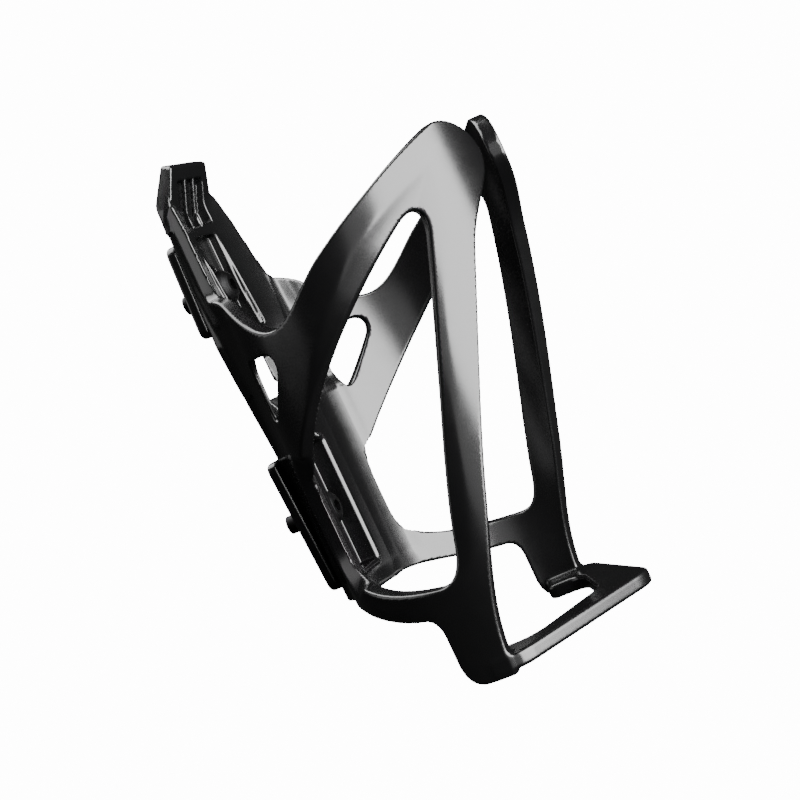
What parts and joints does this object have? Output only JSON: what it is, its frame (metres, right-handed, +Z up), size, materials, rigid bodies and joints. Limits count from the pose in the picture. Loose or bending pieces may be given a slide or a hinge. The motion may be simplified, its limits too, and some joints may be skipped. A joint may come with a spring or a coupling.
{
  "type": "water bottle cage",
  "caption": "Moulded bicycle bottle cage: long spine with bolt channels, two open wings that reach round the bottle, a low ring and a pointed toe strap.",
  "frame": {"origin": "midway between the two bolts, on the rear face of the pads that bears on the bicycle frame", "axes": "+Y back into the bicycle frame along the bolts, +Z up along the bottle axis towards the head tab, +X to the right wing"},
  "size_m": [0.083, 0.093, 0.148],
  "materials": {
    "moulding": "satin moulded black",
    "washer_steel": "satin",
    "bolt_steel": "blackened"
  },
  "bodies": {
    "cage": {"spine": "moulding", "head_tab": "moulding", "upper_pad": "moulding", "lower_pad": "moulding", "lower_ring": "moulding", "left_arm_foot": "moulding", "right_arm_foot": "moulding", "toe_strap": "moulding"},
    "left_wing": {"left_wing": "moulding"},
    "right_wing": {"right_wing": "moulding"},
    "washers": {"upper_washer": "washer_steel", "lower_washer": "washer_steel"},
    "upper_bolt": {"upper_bolt": "bolt_steel"},
    "lower_bolt": {"lower_bolt": "bolt_steel"}
  },
  "joints": [
    {"name": "left_wing_flex", "type": "hinge", "parent": "cage", "child": "left_wing", "pos_m": [-0.0205, -0.0145, -0.0225], "axis": [-0.3459, -0.5308, -0.7737], "range_deg": [0, 2.5], "stiffness_Nm_per_rad": 2.5},
    {"name": "right_wing_flex", "type": "hinge", "parent": "cage", "child": "right_wing", "pos_m": [0.0205, -0.0145, -0.0225], "axis": [0.3459, -0.5308, -0.7737], "range_deg": [-2.5, 0], "stiffness_Nm_per_rad": 2.5},
    {"name": "slot_slide", "type": "slide", "parent": "cage", "child": "washers", "axis": [0, 0, 1], "range_m": [-0.0035, 0.0035]},
    {"name": "upper_bolt_turn", "type": "hinge", "parent": "washers", "child": "upper_bolt", "pos_m": [0, 0, 0.032], "axis": [0, 1, 0], "continuous": true},
    {"name": "lower_bolt_turn", "type": "hinge", "parent": "washers", "child": "lower_bolt", "pos_m": [0, 0, -0.032], "axis": [0, 1, 0], "continuous": true}
  ]
}
